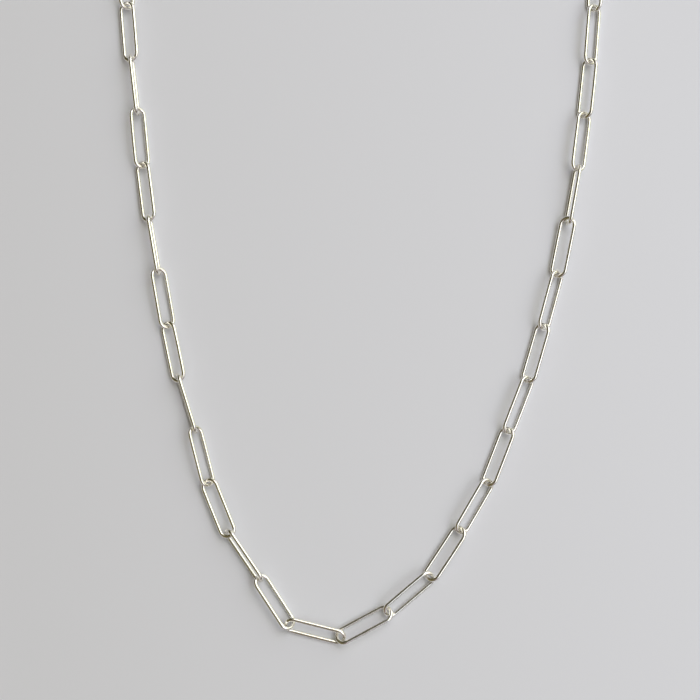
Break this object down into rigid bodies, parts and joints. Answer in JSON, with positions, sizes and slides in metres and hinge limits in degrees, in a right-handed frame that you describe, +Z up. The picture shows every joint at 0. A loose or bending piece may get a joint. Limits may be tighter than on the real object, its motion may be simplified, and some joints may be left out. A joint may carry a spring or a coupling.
{
  "type": "paperclip chain necklace",
  "caption": "Closed neck chain of long oval soldered wire links that hang in one another, with a round clasp at the back.",
  "frame": {"origin": "centre of the laid loop's footprint, on the surface that it rests on", "axes": "+Y from the front of the loop to its clasp, +X across the loop, +Z up from the surface"},
  "size_m": [0.0878, 0.1656, 0.0035],
  "materials": {
    "silver_link": "bright polished sterling silver wire",
    "silver_clasp": "bright polished sterling silver, made apart from the links"
  },
  "bodies": {
    "root": {"link_01": "silver_link", "link_02": "silver_link", "link_03": "silver_link", "link_04": "silver_link", "link_05": "silver_link", "link_06": "silver_link", "link_07": "silver_link", "link_08": "silver_link", "link_09": "silver_link", "link_10": "silver_link", "link_11": "silver_link", "link_12": "silver_link", "link_13": "silver_link", "link_14": "silver_link", "link_15": "silver_link", "link_16": "silver_link", "link_17": "silver_link", "link_18": "silver_link", "link_19": "silver_link", "link_20": "silver_link", "link_21": "silver_link", "link_22": "silver_link", "link_23": "silver_link", "link_24": "silver_link", "link_25": "silver_link", "link_26": "silver_link", "link_27": "silver_link", "link_28": "silver_link", "link_29": "silver_link", "link_30": "silver_link", "link_31": "silver_link", "link_32": "silver_link", "link_33": "silver_link", "clasp": "silver_clasp", "link_34": "silver_link", "link_35": "silver_link", "link_36": "silver_link", "link_37": "silver_link", "link_38": "silver_link", "link_39": "silver_link", "link_40": "silver_link"}
  },
  "joints": []
}
